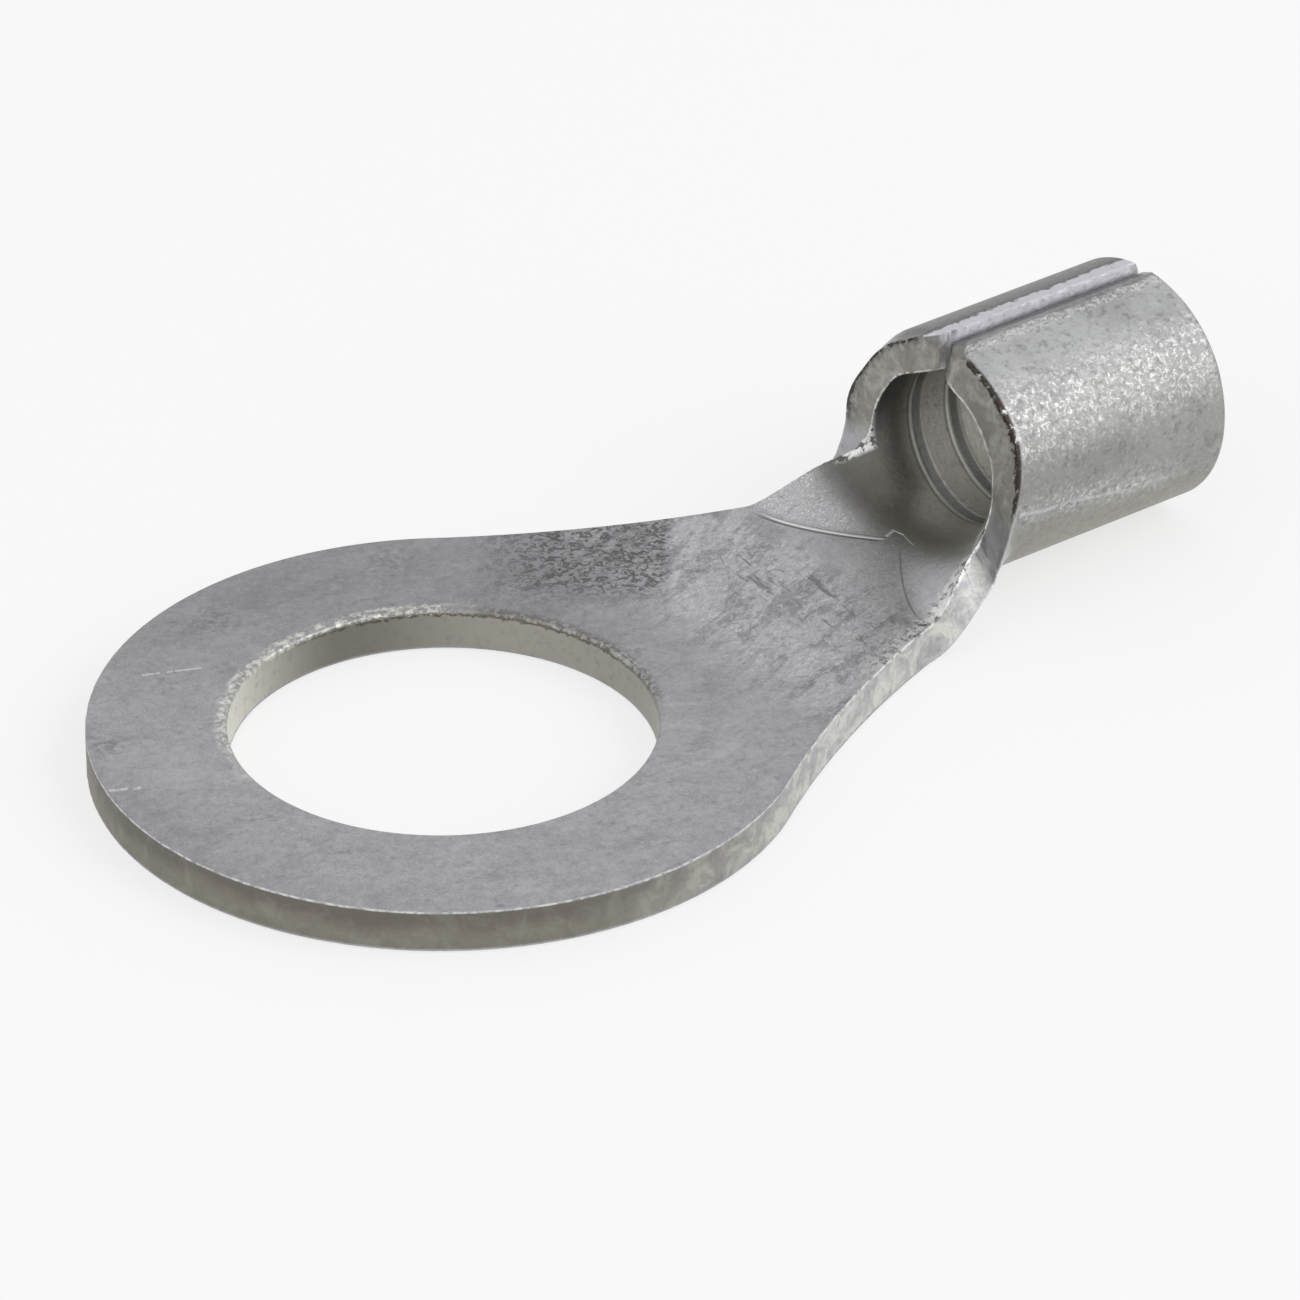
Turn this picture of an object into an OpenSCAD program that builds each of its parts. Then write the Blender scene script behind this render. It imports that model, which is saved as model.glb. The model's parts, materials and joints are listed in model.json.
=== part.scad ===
// One-piece ring terminal: a stamped copper blank with a flat stud ring, a neck
// that curls up out of the flat sheet, and wings rolled into a wire barrel.
// Units are mm.  The origin is the stud hole's centre on the underside of the
// tongue, +X runs along the part to the wire mouth and +Z is up.

/* [Sheet] */
// thickness of the copper sheet, the same over the whole part
sheet_t = 1.1; // [0.8:0.05:1.3]

/* [Stud ring] */
// bore of the stud hole, clearance for an M10 stud
stud_hole_d = 10.5; // [8.4:0.1:12]
// outer diameter of the ring around the stud hole
ring_d = 17.6; // [16.4:0.1:19.4]
// how far the outer round sits from the hole centre toward the barrel
ring_shift = 0.1; // [0:0.05:0.4]
// die roll around the top edge of the stud hole
hole_roll = 0.12; // [0.05:0.01:0.25]

/* [Neck] */
// distance from the hole centre to where the sheet edges start to rise
rise_x = 12.3; // [11.6:0.1:13]
// half width of the flat sheet where its edges start to rise
rise_half_w = 3.73; // [3.3:0.01:4.2]
// radius of the concave flanks between the ring and the neck
flank_r = 30; // [22:1:45]
// length of the curved crease, from the sheet edges to its tip on the centre line
crease_len = 2; // [1.4:0.1:2.6]
// radius of the inside corners between the neck and the barrel wings
corner_r = 0.4; // [0.2:0.05:0.6]

/* [Barrel] */
// distance from the hole centre to the barrel's cut on the ring side
mouth_x = 15.3; // [14.9:0.1:16.4]
// length of the rolled barrel
barrel_len = 7; // [5:0.1:10]
// outer diameter of the rolled barrel
barrel_od = 6.5; // [6:0.1:7.2]
// how much the closed top is pressed flat below the full round
top_press = 0.18; // [0:0.02:0.4]
// edge break around the wire end, inside and outside
end_break = 0.12; // [0.05:0.01:0.3]

/* [Seam] */
// slit left between the two lips, from the bore up to the V groove
seam_slit = 0.06; // [0.04:0.01:0.2]
// sideways offset of the slit from the centre line
seam_shift = 0.3; // [0:0.02:0.5]
// depth of the V groove below the pressed top
seam_deep = 0.28; // [0.1:0.02:0.5]
// how far the steep lip leans back over that depth
seam_steep = 0.1; // [0.02:0.02:0.4]
// how far the sloping lip leans back over that depth
seam_slope = 0.52; // [0.2:0.02:0.8]
// rounding of the wings' corners where the seam meets the ring-side cut
wing_corner_r = 0.9; // [0.3:0.05:1.2]

/* [Serrations] */
// number of grooves pressed around the bore
groove_count = 4; // [1:1:4]
// distance from the ring-side cut to the first groove
groove_first = 1.25; // [0.8:0.05:1.6]
// distance from one groove to the next
groove_pitch = 1.2; // [0.8:0.05:1.3]
// width of one groove
groove_w = 0.42; // [0.2:0.02:0.6]
// depth of one groove
groove_deep = 0.13; // [0.05:0.01:0.25]

/* [Hidden] */
copper_tin = [0.72, 0.72, 0.70];
// facets on true rounds
round_fn = 96;
// how far cutting shapes reach past the surfaces they cut
past = 1;
// how far one solid of the sheet is sunk into the next, and how deep under its skin
sink = 0.25;
skin = 0.012;
ring_r = ring_d / 2;
bore_r = barrel_od / 2 - sheet_t;
axis_z = barrel_od / 2;
end_x = mouth_x + barrel_len;
// the flank circle passes the rise point and runs into the ring's round
flank_reach = ring_r + flank_r - skin / 2;
rise_dx = rise_x - ring_shift;
rise_span = norm([rise_dx, rise_half_w]);
flank_turn = atan2(rise_half_w, rise_dx)
    + acos((rise_span * rise_span + flank_reach * flank_reach - flank_r * flank_r)
        / (2 * rise_span * flank_reach));
flank_x = ring_shift + flank_reach * cos(flank_turn);
flank_y = flank_reach * sin(flank_turn);
// where the flank leaves the ring
leave_x = ring_shift + (ring_r - skin) * cos(flank_turn);
leave_y = (ring_r - skin) * sin(flank_turn);

// neck loft: share of the bend that grows slowly, and the two growth powers
slow_share = 0.62;
slow_power = 0.6;
fast_power = 12;
bend_min = 0.0001;
// stations along the neck and columns across half of it
neck_steps = 13;
corner_steps = 4;
flat_cols = 2;
bend_cols = 10;
// narrowest strip of columns, as a share of the half width
strip_share = 0.14;
corner_x = mouth_x - corner_r;
lead = 0.02;

// one station is [x, shrink]: shrink pulls the section in under the skin
neck_stations = concat(
    [[rise_x - sink, skin], [rise_x, skin]],
    [for (i = [0 : neck_steps]) [rise_x + lead + (corner_x - rise_x - lead) * i / neck_steps, 0]],
    [for (i = [1 : corner_steps]) [mouth_x - lead - (corner_r - lead) * (1 - sin(90 * i / corner_steps)), 0]],
    [[mouth_x, skin], [mouth_x + sink, skin]]);

function along(x) = min(max((x - rise_x) / (mouth_x - rise_x), 0), 1);
function corner_grow(x) = x <= corner_x ? 0
    : corner_r - sqrt(max(corner_r * corner_r - pow(min(x, mouth_x) - corner_x, 2), 0));
function half_w(x) = flank_y - sqrt(flank_r * flank_r - pow(min(x, mouth_x) - flank_x, 2))
    + corner_grow(x);
function bend(x) = max(bend_min, (slow_share * pow(along(x), slow_power)
    + (1 - slow_share) * pow(along(x), fast_power)) / bore_r);
// half width of the flat floor inside the crease
function flat_w(x) = half_w(x) * (1 - sqrt(min(max((x - rise_x) / crease_len, 0), 1)));
// point of the section at x: s across the inner face, d below it
function sheet_point(x, s, d) =
    let (f = flat_w(x), k = bend(x), a = max(abs(s) - f, 0) * k * 180 / PI, r = 1 / k)
    [x, sign(s) * (min(abs(s), f) + (r + d) * sin(a)), sheet_t + r - (r + d) * cos(a)];
// positions across a section, from one edge to the other
function half_cols(x, w) = let (
        c = min(max(flat_w(x), w * strip_share), w * (1 - strip_share)))
    concat(
        [for (i = [1 : flat_cols]) c * i / flat_cols],
        [for (i = [1 : bend_cols]) c + (w - c) * i / bend_cols]);
function cols(x, w) = let (h = half_cols(x, w), n = len(h)) concat(
    [for (i = [n - 1 : -1 : 0]) -h[i]], [0], h);
function section(st) = let (x = st[0], p = st[1], c = cols(x, half_w(x) - p), n = len(c)) concat(
    [for (i = [0 : n - 1]) sheet_point(x, c[i], p)],
    [for (i = [n - 1 : -1 : 0]) sheet_point(x, c[i], sheet_t - p)]);

// closed loft through a list of equal-length sections
module loft(rows) {
    n = len(rows[0]);
    m = len(rows);
    polyhedron(
        points = [for (r = rows) each r],
        faces = concat(
            [for (j = [0 : m - 2]) for (i = [0 : n - 1]) let (k = (i + 1) % n)
                each [[j * n + i, j * n + k, (j + 1) * n + k],
                      [j * n + i, (j + 1) * n + k, (j + 1) * n + i]]],
            cap(0, n, false), cap((m - 1) * n, n, true)),
        convexity = 6);
}
// end of the loft, strip by strip between the inner and the outer face
function cap(base, n, flip) = [for (i = [0 : n / 2 - 2])
    let (a = base + i, b = base + i + 1, c = base + n - 2 - i, d = base + n - 1 - i)
    each (flip ? [[a, b, c], [a, c, d]] : [[c, b, a], [d, c, a]])];

// flat tongue: ring, web and the stud bore with its die roll
module tongue() {
    difference() {
        union() {
            translate([ring_shift, 0, 0]) cylinder(h = sheet_t, r = ring_r, $fn = round_fn * 2);
            linear_extrude(sheet_t) polygon([
                [0, leave_y], [leave_x, leave_y], [rise_x, half_w(rise_x) + lead],
                [rise_x, -half_w(rise_x) - lead], [leave_x, -leave_y], [0, -leave_y]]);
        }
        for (side = [-1, 1])
            translate([flank_x, side * flank_y, -past])
                cylinder(h = sheet_t + 2 * past, r = flank_r, $fn = round_fn * 6);
        translate([0, 0, -past]) cylinder(h = sheet_t + 2 * past, d = stud_hole_d, $fn = round_fn);
        translate([0, 0, sheet_t - hole_roll])
            cylinder(h = 2 * hole_roll, d1 = stud_hole_d, d2 = stud_hole_d + 4 * hole_roll,
                $fn = round_fn);
    }
}

module neck() {
    loft([for (st = neck_stations) section(st)]);
}

// ring-shaped cutter with a V profile, turned about the barrel axis
module serration() {
    rotate_extrude($fn = round_fn) polygon([
        [bore_r - groove_deep, -groove_w], [bore_r + groove_deep, -groove_w * 0.12],
        [bore_r + groove_deep, groove_w * 0.12], [bore_r - groove_deep, groove_w]]);
}

// rolled barrel: true round outside and bore, pressed top, V seam with rounded corners, serrations
module barrel() {
    difference() {
        translate([mouth_x, 0, axis_z]) rotate([0, 90, 0]) {
            cylinder(h = barrel_len - end_break, d = barrel_od, $fn = round_fn);
            translate([0, 0, barrel_len - end_break])
                cylinder(h = end_break, d1 = barrel_od, d2 = barrel_od - 2 * end_break,
                    $fn = round_fn);
        }
        translate([mouth_x - past, 0, axis_z]) rotate([0, 90, 0])
            cylinder(h = barrel_len + 2 * past, r = bore_r, $fn = round_fn);
        translate([end_x - end_break, 0, axis_z]) rotate([0, 90, 0])
            cylinder(h = 2 * end_break, r1 = bore_r, r2 = bore_r + 2 * end_break, $fn = round_fn);
        for (i = [0 : groove_count - 1])
            translate([mouth_x + groove_first + i * groove_pitch, 0, axis_z]) rotate([0, 90, 0])
                serration();
        translate([mouth_x - past, -barrel_od, barrel_od - top_press])
            cube([barrel_len + 2 * past, 2 * barrel_od, barrel_od]);
        translate([mouth_x - past, seam_shift, barrel_od - top_press - seam_deep])
            rotate([90, 0, 90]) linear_extrude(barrel_len + 2 * past) seam_profile();
        for (side = [-1, 1])
            translate([mouth_x, seam_shift, axis_z]) mirror([0, side < 0 ? 1 : 0, 0])
                wing_corner();
    }
}

// slit and V groove seen along the barrel, with the V's bottom at the origin
module seam_profile() {
    polygon([
        [-seam_slit / 2, -axis_z / 2], [seam_slit / 2, -axis_z / 2], [seam_slit / 2, 0],
        [seam_slit / 2 + 2 * seam_steep, 2 * seam_deep],
        [-seam_slit / 2 - 2 * seam_slope, 2 * seam_deep], [-seam_slit / 2, 0]]);
}

// what the left wing's rounded corner takes away, with the mouth end of the slit at the origin
module wing_corner() {
    linear_extrude(barrel_od) difference() {
        translate([-past, 0]) square([past + wing_corner_r - skin, wing_corner_r]);
        translate([wing_corner_r - skin, seam_slit / 2 + wing_corner_r - skin])
            circle(wing_corner_r, $fn = round_fn);
    }
}

module terminal_body() {
    color(copper_tin) union() {
        tongue();
        neck();
        barrel();
    }
}

terminal_body();
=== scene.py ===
"""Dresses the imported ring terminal: one stamped copper blank, rolled into a barrel and tinned.

The blank is drawn flat, given its thickness and its rounded rims, cut into a fine
grid, and then every point is carried from the flat sheet to the formed part.
All shaping is done in millimetres and the finished mesh is brought to metres.
"""

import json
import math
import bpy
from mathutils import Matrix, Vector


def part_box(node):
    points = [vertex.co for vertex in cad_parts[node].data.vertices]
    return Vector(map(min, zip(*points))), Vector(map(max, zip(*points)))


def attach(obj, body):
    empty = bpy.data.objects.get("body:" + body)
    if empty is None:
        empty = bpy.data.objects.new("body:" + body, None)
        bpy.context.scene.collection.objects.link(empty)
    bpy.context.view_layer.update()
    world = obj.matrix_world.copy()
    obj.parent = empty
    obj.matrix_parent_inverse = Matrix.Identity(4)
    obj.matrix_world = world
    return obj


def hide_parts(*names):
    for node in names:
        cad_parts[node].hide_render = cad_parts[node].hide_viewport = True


bl_info = {
    "name": "Ring Terminal Dresser",
    "version": (1, 0, 0),
    "blender": (4, 5, 0),
    "location": "3D View > Sidebar > Ring Terminal",
    "description": "Forms and finishes a tinned one-piece ring terminal",
    "category": "Object",
}

import bmesh
import bpy
from mathutils import Matrix, Vector, noise

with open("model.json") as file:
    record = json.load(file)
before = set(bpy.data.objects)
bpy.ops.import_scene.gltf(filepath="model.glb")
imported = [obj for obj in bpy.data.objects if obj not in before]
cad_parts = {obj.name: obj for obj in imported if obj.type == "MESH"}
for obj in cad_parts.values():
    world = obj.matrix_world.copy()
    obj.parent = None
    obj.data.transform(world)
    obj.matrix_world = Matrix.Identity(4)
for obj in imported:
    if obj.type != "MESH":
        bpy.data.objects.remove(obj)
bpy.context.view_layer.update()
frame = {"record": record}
MM = 0.001
MOUNTS = {mount["name"]: mount for mount in frame["record"]["mounts"]}
LOW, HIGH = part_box("terminal_body")
HOLE_MM = MOUNTS["stud_hole"]["dims"]["r_mm"]
BORE_MM = MOUNTS["wire_barrel"]["dims"]["r_mm"]
SHEET_MM = 1.1
# places this near each other, in millimetres, count as one
CLOSE = 1e-4


# ---------------------------------------------------------------- settings


def length(name, description, default_mm, low=0.0, high=100.0):
    """A length property, stated in millimetres and kept in metres."""
    return bpy.props.FloatProperty(
        name=name, description=description, default=default_mm * MM,
        min=low * MM, max=high * MM, unit="LENGTH", precision=5)


def colour(name, description, default):
    """A colour property, in linear red, green and blue."""
    return bpy.props.FloatVectorProperty(
        name=name, description=description, default=default,
        subtype="COLOR", size=3, min=0.0, max=1.0)


class BlankSizes(bpy.types.PropertyGroup):
    """Sizes of the flat blank and of the formed part."""

    sheet: length("Sheet", "Thickness of the copper sheet", SHEET_MM, 0.5, 2.0)
    hole_radius: length("Stud hole radius", "Radius of the stud hole", HOLE_MM, 3.0, 7.0)
    ring_radius: length("Ring radius", "Outer radius of the ring", HIGH.y / MM, 6.0, 12.0)
    ring_shift: length("Ring shift", "Ring centre ahead of the hole centre",
                       (LOW.x + HIGH.y) / MM, 0.0, 1.0)
    rise_x: length("Rise", "Where the sheet edges start to lift", 12.3, 10.0, 14.0)
    rise_half: length("Rise half width", "Half width of the sheet there", 3.73, 3.0, 5.0)
    flank_radius: length("Flank radius", "Concave flank between ring and neck", 30.0, 20.0, 50.0)
    crease: length("Crease length", "From the sheet edge to the tip of the crease", 2.0, 1.0, 3.0)
    corner: length("Corner radius", "Inside corner between neck and wing", 0.4, 0.1, 0.8)
    mouth_x: length("Mouth", "Barrel's cut on the ring side", 15.3, 14.0, 17.0)
    end_x: length("Wire end", "Barrel's wire end", HIGH.x / MM, 20.0, 30.0)
    bore: length("Bore radius", "Inner radius of the rolled barrel", BORE_MM, 1.5, 3.0)
    press: length("Top press", "How far the closed top is pressed flat",
                  2 * (BORE_MM + SHEET_MM) - HIGH.z / MM, 0.0, 0.5)
    slit: length("Seam slit", "Slit between the lips, below the V groove", 0.06, 0.02, 0.3)
    seam_shift: length("Seam shift", "Seam's offset to the left of the centre line", 0.3, 0.0, 0.6)
    seam_deep: length("V depth", "Depth of the V groove along the seam", 0.34, 0.1, 0.8)
    steep: length("Steep lip", "How far the left lip leans back", 0.1, 0.0, 0.4)
    slope: length("Sloping lip", "How far the right lip leans back", 0.52, 0.0, 0.8)
    wing_corner: length("Wing corner", "Rounding of the wings' corners at the mouth", 0.9, 0.2, 1.2)
    groove_first: length("First groove", "From the mouth to the first groove", 1.25, 0.5, 2.0)
    groove_pitch: length("Groove pitch", "From one groove to the next", 1.2, 0.8, 2.0)
    groove_width: length("Groove width", "Half width of one groove", 0.2, 0.1, 0.6)
    groove_depth: length("Groove depth", "Depth of one groove", 0.13, 0.0, 0.3)
    grooves: bpy.props.IntProperty(name="Grooves", description="Grooves around the bore",
                                   default=4, min=0, max=6)
    roll: length("Die roll", "Rounding of the stud hole's top rim", 0.12, 0.02, 0.3)
    end_break: length("End break", "Rounding of the wire end", 0.11, 0.02, 0.3)
    rim: length("Rim", "Rounding of the other rims", 0.055, 0.01, 0.2)


class TinColours(bpy.types.PropertyGroup):
    """Colours of the tin and of what dirties it."""

    cool: colour("Cool tin", "Tin on the flat faces", (0.375, 0.375, 0.405))
    grey: colour("Grey tin", "Flat faces where the tin is thicker", (0.45, 0.45, 0.465))
    # also painted sheen: the highlight band on the barrel and the painted light at the neck's end
    rubbed_and_sheen: colour("Rubbed tin", "Neck rubbed by the tool", (0.6, 0.605, 0.62))
    warm: colour("Warm tin", "Underside of the barrel", (0.31, 0.3, 0.25))
    skin: colour("Barrel tin", "Outside of the barrel", (0.355, 0.355, 0.335))
    # also painted highlights: the barrel's band, the crease line, the groove flanks and the rims
    bright: colour("Bright crystals", "Polished high spots", (0.82, 0.82, 0.8))
    # also painted shade on the ring's far side, in the neck's right corner and beside the seam
    dark: colour("Dull patches", "Thin, stained tin", (0.17, 0.17, 0.175))
    # also painted shade in the creases and the grooves
    pit_and_shade: colour("Pits", "Floors of the pits and creases", (0.1, 0.1, 0.1))
    grime: colour("Grime", "Dirt caught along the burr", (0.055, 0.045, 0.038))
    wall_high: colour("Wall, upper", "Burnished upper half of the cut edge", (0.17, 0.158, 0.134))
    wall_low: colour("Wall, lower", "Torn lower half of the cut edge", (0.24, 0.228, 0.19))
    # painted light: the cut edge where it faces the lamp's side, far lighter than the ring's cut
    # edge
    neck_wall: colour("Neck wall", "Cut edge along the neck", (0.68, 0.69, 0.64))
    hole_left: colour("Hole, left", "Stud hole's wall on the open side", (0.72, 0.72, 0.65))
    hole_right: colour("Hole, right", "Stud hole's wall toward the neck", (0.36, 0.345, 0.305))
    mouth_left: colour("Mouth, left", "Ring-side cut of the left wing", (0.29, 0.28, 0.25))
    mouth_right: colour("Mouth, right", "Ring-side cut of the right wing", (0.28, 0.268, 0.24))
    # painted light: the left lip's sheared face, turned up toward the light
    lip_left: colour("Lip, left", "Sheared face of the left lip", (0.66, 0.66, 0.71))
    # painted shade: the right lip's sheared face, in the shadow of the V groove
    lip_right: colour("Lip, right", "Sheared face of the right lip", (0.15, 0.15, 0.155))
    shoulder: colour("Shoulder", "Outside of the left wing, dulled by the tool", (0.2, 0.198, 0.195))
    hole_back: colour("Hole, back", "Stud hole's wall on the left", (0.21, 0.2, 0.172))
    # painted shade: inside of the neck ahead of the bore
    hollow_shade: colour("Hollow", "Inside of the neck, just ahead of the bore", (0.125, 0.122, 0.105))
    # painted light: the bore is painted lighter than the tin outside, to stand in for light reaching
    # into it
    bore: colour("Bore", "Inside of the barrel", (0.6, 0.59, 0.545))


# ------------------------------------------------------------- forming law


class Former:
    """Carries points of the flat blank to the formed part, all in millimetres."""

    # a share of the sides' bend grows slowly along the neck, and the rest comes at the mouth
    SLOW_SHARE, SLOW_POWER = 0.62, 0.6
    EASE_AHEAD, EASE_PAST = 0.8, 0.6
    LEAST_BEND = 1e-4
    # the crease's curve runs out in a soft tail of the same value and slope
    TAIL_FROM, TAIL_TO, TAIL_RATE = 0.6, 1.298, 0.4624
    # the sides take the barrel's own roll across this band, starting late past the rise
    GATHER_FROM, GATHER_TO, GATHER_LATE = 2.7, 4.6, 0.2
    # stretch around the mouth that its trimming reaches
    TRIM_AHEAD, TRIM_FULL, TRIM_PAST = 1.0, 0.3, 1.6
    # the press flattens what stands above this share of the full round
    PRESS_FROM, PRESS_POWER = 0.72, 1.5

    def __init__(self, sizes):
        for name in BlankSizes.__annotations__:
            value = getattr(sizes, name)
            setattr(self, name, value if name == "grooves" else value / MM)
        reach = self.ring_radius + self.flank_radius
        dx = self.rise_x - self.ring_shift
        span = math.hypot(dx, self.rise_half)
        turn = math.atan2(self.rise_half, dx) + math.acos(
            (span ** 2 + reach ** 2 - self.flank_radius ** 2) / (2 * span * reach))
        self.flank_x = self.ring_shift + reach * math.cos(turn)
        self.flank_y = reach * math.sin(turn)
        self.leave = turn
        self.outer = self.bore + self.sheet
        self.wing = math.pi * self.bore

    def half_width(self, x):
        """Half width of the neck at x, without the corner's fillet."""
        x = min(max(x, self.rise_x), self.mouth_x)
        return self.flank_y - math.sqrt(self.flank_radius ** 2 - (x - self.flank_x) ** 2)

    def floor(self, x):
        """Half width of the flat floor inside the crease."""
        u = max((x - self.rise_x) / self.crease, 0.0)
        if u < self.TAIL_FROM:
            share = 1.0 - math.sqrt(u)
        else:
            share = self.TAIL_RATE * max(self.TAIL_TO - u, 0.0) ** 2
        return self.half_width(x) * share

    def bend(self, x):
        """Curvature of the rising sides at x; it eases in past the mouth."""
        slow = share_of(x, self.rise_x, self.mouth_x) ** self.SLOW_POWER
        late = smooth(x, self.mouth_x - self.EASE_AHEAD, self.mouth_x + self.EASE_PAST)
        share = self.SLOW_SHARE * slow + (1 - self.SLOW_SHARE) * late
        return max(self.LEAST_BEND, share / self.bore)

    def groove(self, x):
        """Depth of the serrations at x."""
        deep = 0.0
        for i in range(self.grooves):
            off = abs(x - self.mouth_x - self.groove_first - i * self.groove_pitch)
            deep = max(deep, self.groove_depth * (1.0 - min(off / self.groove_width, 1.0)))
        return deep

    def lip(self, side, depth):
        """How far the wing on that side reaches across the inner face, at a depth."""
        lean = smooth(depth, self.sheet - self.seam_deep, self.sheet)
        if side > 0:
            across = self.seam_shift + self.slit / 2 + self.steep * lean
        else:
            across = self.seam_shift - self.slit / 2 - self.slope * lean
        return self.bore * (math.pi - side * math.asin(across / (self.bore + depth)))

    def set_back(self, side, s, depth):
        """How far the ring-side cut lies behind the plain one; the shear dragged it."""
        outer = share_of(depth, 0.0, self.sheet)
        if side > 0:
            return 0.15 * outer * smooth(s, 4.0, 5.2)
        inner_back = 0.14 * smooth(s, 3.4, 4.2)
        outer_back = 0.3 * smooth(s, 3.6, 4.5) - 0.24 * (1.0 - smooth(s, 3.2, 3.9))
        return inner_back + (outer_back - inner_back) * outer

    def shoulder(self, x, s, depth):
        """Die roll that thins the left wing's outer edge beside the mouth."""
        wing = smooth(s, 3.5, 4.4) * (1.0 - smooth(s, 5.6, 6.5))
        beside = 1.0 - smooth(x, self.mouth_x, self.mouth_x + 0.7)
        return 0.2 * wing * beside * smooth(depth, 0.6 * self.sheet, self.sheet)

    def rolled(self, s, depth, floor, bend):
        """Section point: flat floor, then an arc of one curvature."""
        radius = 1.0 / bend
        angle = max(s - floor, 0.0) * bend
        return Vector((min(s, floor) + (radius + depth) * math.sin(angle),
                       self.sheet + radius - (radius + depth) * math.cos(angle)))

    def gathered(self, x):
        """How much of the barrel's own roll the sides have taken at x."""
        return share_of(x, self.rise_x + self.GATHER_LATE, self.mouth_x) ** 3

    def form(self, p):
        """The formed place of one point of the flat blank."""
        x, s, depth = p.x, abs(p.y), -p.z
        side = 1.0 if p.y >= 0 else -1.0
        back = 0.0
        if x > self.mouth_x - self.TRIM_AHEAD:
            near = smooth(x, self.mouth_x - self.TRIM_AHEAD, self.mouth_x - self.TRIM_FULL)
            near *= 1.0 - smooth(x, self.mouth_x, self.mouth_x + self.TRIM_PAST)
            back = self.set_back(side, s, depth) * near * smooth(s, 2.4, 2.9)
            end = self.lip(side, depth) - self.wing
            s += end * smooth(s, 0.7 * self.wing, self.wing)
            depth += self.groove(x) * smooth(-depth, -0.5 * self.sheet, 0.0)
            if side > 0:
                depth -= self.shoulder(x, s, depth)
        flared = self.rolled(s, depth, self.floor(x), self.bend(x))
        closed = self.rolled(s, depth, 0.0, 1.0 / self.bore)
        gather = smooth(s, self.GATHER_FROM, self.GATHER_TO) * self.gathered(x)
        at = flared.lerp(closed, gather)
        z = at.y
        top = 2 * self.outer
        low = self.PRESS_FROM * top
        if z > low:
            z -= self.press * ((z - low) / (top - low)) ** self.PRESS_POWER
        return Vector((x + back, side * at.x, z))


def share_of(value, low, high):
    """How far value has come from low to high, held between 0 and 1."""
    return min(max((value - low) / (high - low), 0.0), 1.0)


def smooth(value, low, high):
    """0 below low, 1 above high and an even S between."""
    t = share_of(value, low, high)
    return t * t * (3.0 - 2.0 * t)


# ----------------------------------------------------------- drawing board


class Pen:
    """Draws a chain of edges in a bmesh with extrusions and spins."""

    def __init__(self, bm, x, y):
        self.bm = bm
        self.start = self.tip = bm.verts.new((x, y, 0.0))

    def line(self, x, y):
        """A straight edge to a place."""
        made = bmesh.ops.extrude_vert_indiv(self.bm, verts=[self.tip])
        self.tip = made["verts"][0]
        self.tip.co = (x, y, 0.0)

    def arc(self, centre_x, centre_y, angle, steps):
        """A round stretch about a centre, in even steps."""
        made = bmesh.ops.spin(
            self.bm, geom=[self.tip], cent=(centre_x, centre_y, 0.0), axis=(0.0, 0.0, 1.0),
            dvec=(0.0, 0.0, 0.0), angle=angle, space=Matrix.Identity(4), steps=steps,
            use_merge=False, use_normal_flip=False, use_duplicate=False)
        self.tip = [g for g in made["geom_last"] if isinstance(g, bmesh.types.BMVert)][0]


def draw_half_blank(bm, f):
    """Outline of the blank's left half, from the hole to the wing and round the ring."""
    pen = Pen(bm, -f.hole_radius, 0.0)
    pen.arc(0.0, 0.0, -math.pi, 132)
    pen.line(f.end_x, 0.0)
    pen.line(f.end_x, f.wing)
    pen.line(f.mouth_x + f.wing_corner, f.wing)
    pen.arc(f.mouth_x + f.wing_corner, f.wing - f.wing_corner, math.pi / 2, 14)
    base = f.half_width(f.mouth_x - f.corner)
    pen.line(f.mouth_x, base + f.corner)
    pen.arc(f.mouth_x - f.corner, base + f.corner, -math.pi / 2, 8)
    # flank, from the neck back to the ring
    start = math.atan2(base - f.flank_y, f.mouth_x - f.corner - f.flank_x)
    stop = f.leave - math.pi
    pen.arc(f.flank_x, f.flank_y, stop - start, 64)
    pen.tip.co = (f.ring_shift + f.ring_radius * math.cos(f.leave),
                  f.ring_radius * math.sin(f.leave), 0.0)
    pen.arc(f.ring_shift, 0.0, math.pi - f.leave, 130)
    pen.tip.co.y = 0.0
    bm.edges.new((pen.tip, pen.start))


def rim_edges(bm, level, wanted):
    """Rim edges of the face at that level whose ends all pass the test."""
    found = []
    for edge in bm.edges:
        if len(edge.link_faces) != 2 or any(abs(v.co.z - level) > CLOSE for v in edge.verts):
            continue
        if sum(abs(face.normal.z) > 0.9 for face in edge.link_faces) != 1:
            continue
        if all(wanted(v.co) for v in edge.verts):
            found.append(edge)
    return found


def round_rims(bm, levels, radius, segments, wanted):
    """Rounds the rims at those levels whose ends all pass the test."""
    for level in levels:
        bm.normal_update()
        bmesh.ops.bevel(
            bm, geom=rim_edges(bm, level, wanted), offset=radius, offset_type="OFFSET",
            segments=segments, profile=0.5, affect="EDGES", clamp_overlap=True,
            loop_slide=True, material=-1, vmesh_method="ADJ", miter_outer="SHARP",
            miter_inner="SHARP")


def cut(bm, faces, place, normal):
    """Cuts those faces by one plane and gives the faces that come of it."""
    edges = {edge for face in faces for edge in face.edges}
    verts = {vert for face in faces for vert in face.verts}
    made = bmesh.ops.bisect_plane(
        bm, geom=list(verts) + list(edges) + list(faces), dist=CLOSE,
        plane_co=place, plane_no=normal, use_snap_center=False,
        clear_outer=False, clear_inner=False)
    return [part for part in made["geom"] if isinstance(part, bmesh.types.BMFace)]


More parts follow.
